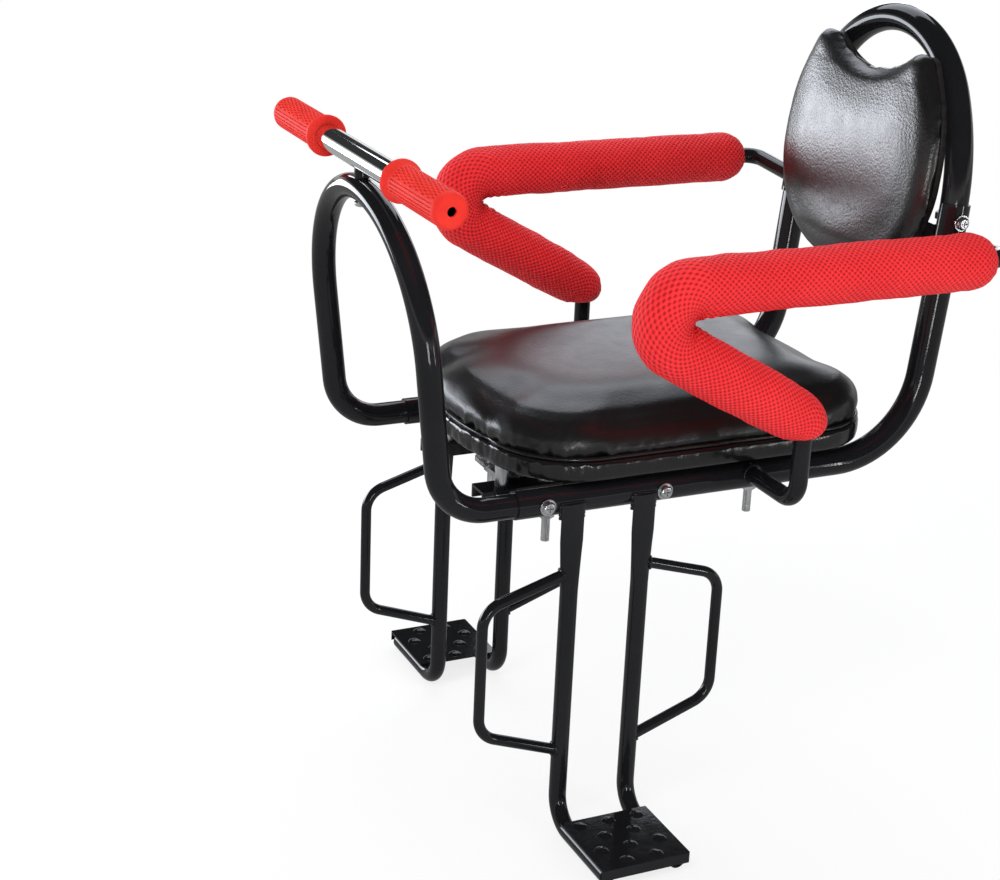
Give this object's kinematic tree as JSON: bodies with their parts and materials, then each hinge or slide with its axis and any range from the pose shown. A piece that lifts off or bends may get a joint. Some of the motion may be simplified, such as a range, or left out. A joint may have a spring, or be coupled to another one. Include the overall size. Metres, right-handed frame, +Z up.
{
  "type": "rear child bike seat",
  "caption": "Rear child bike seat with black tubular frame, padded seat and backrest, red foam armrests, chrome handlebar with red grips, footrests and rack clamp",
  "frame": {"origin": "middle of the rack face, between the clamp studs", "axes": "+Z up, -Y the way the child faces, +X the child's left"},
  "size_m": [0.5, 0.5687, 0.7139],
  "materials": {
    "black_paint": "gloss black powder coat",
    "bar_chrome": "bright chrome plate",
    "grip_rubber": "red ribbed rubber",
    "black_vinyl": "black grained vinyl over foam",
    "red_mesh": "red mesh cloth over foam",
    "zinc_steel": "zinc plated steel",
    "board_wood": "black stained plywood"
  },
  "bodies": {
    "root": {"main_frame": "black_paint", "front_guard": "black_paint", "handlebar": "bar_chrome", "bar_saddle": "black_paint", "bar_screw": "zinc_steel", "bar_nut": "zinc_steel", "grip_left": "grip_rubber", "grip_right": "grip_rubber", "seat_base": "black_vinyl", "seat_cushion": "black_vinyl", "back_board": "board_wood", "back_cushion": "black_vinyl", "back_strap_lower": "black_paint", "back_strap_upper": "black_paint", "back_screws": "zinc_steel", "armrest_tube_left": "black_paint", "armrest_tube_right": "black_paint", "armrest_sleeve_left": "red_mesh", "armrest_sleeve_right": "red_mesh", "armrest_saddle_left": "black_paint", "armrest_saddle_right": "black_paint", "saddle_screws": "zinc_steel", "saddle_washers": "zinc_steel", "saddle_nuts": "zinc_steel", "rail_screws": "zinc_steel", "rail_washers": "zinc_steel", "rail_nuts": "zinc_steel", "foot_tube_front_left": "black_paint", "foot_tube_front_right": "black_paint", "foot_tube_rear_left": "black_paint", "foot_tube_rear_right": "black_paint", "spoke_rod_front_left": "black_paint", "spoke_rod_front_right": "black_paint", "spoke_rod_rear_left": "black_paint", "spoke_rod_rear_right": "black_paint", "foot_plate_left": "black_paint", "foot_plate_right": "black_paint", "base_bar_left": "black_paint", "base_bar_right": "black_paint", "cross_strap_front": "black_paint", "cross_strap_rear": "black_paint", "clamp_plate_front": "zinc_steel", "clamp_plate_rear": "zinc_steel", "mount_studs": "zinc_steel", "mount_washers": "zinc_steel", "mount_nuts": "zinc_steel", "seat_spacers": "zinc_steel", "seat_screws": "zinc_steel"}
  },
  "joints": []
}
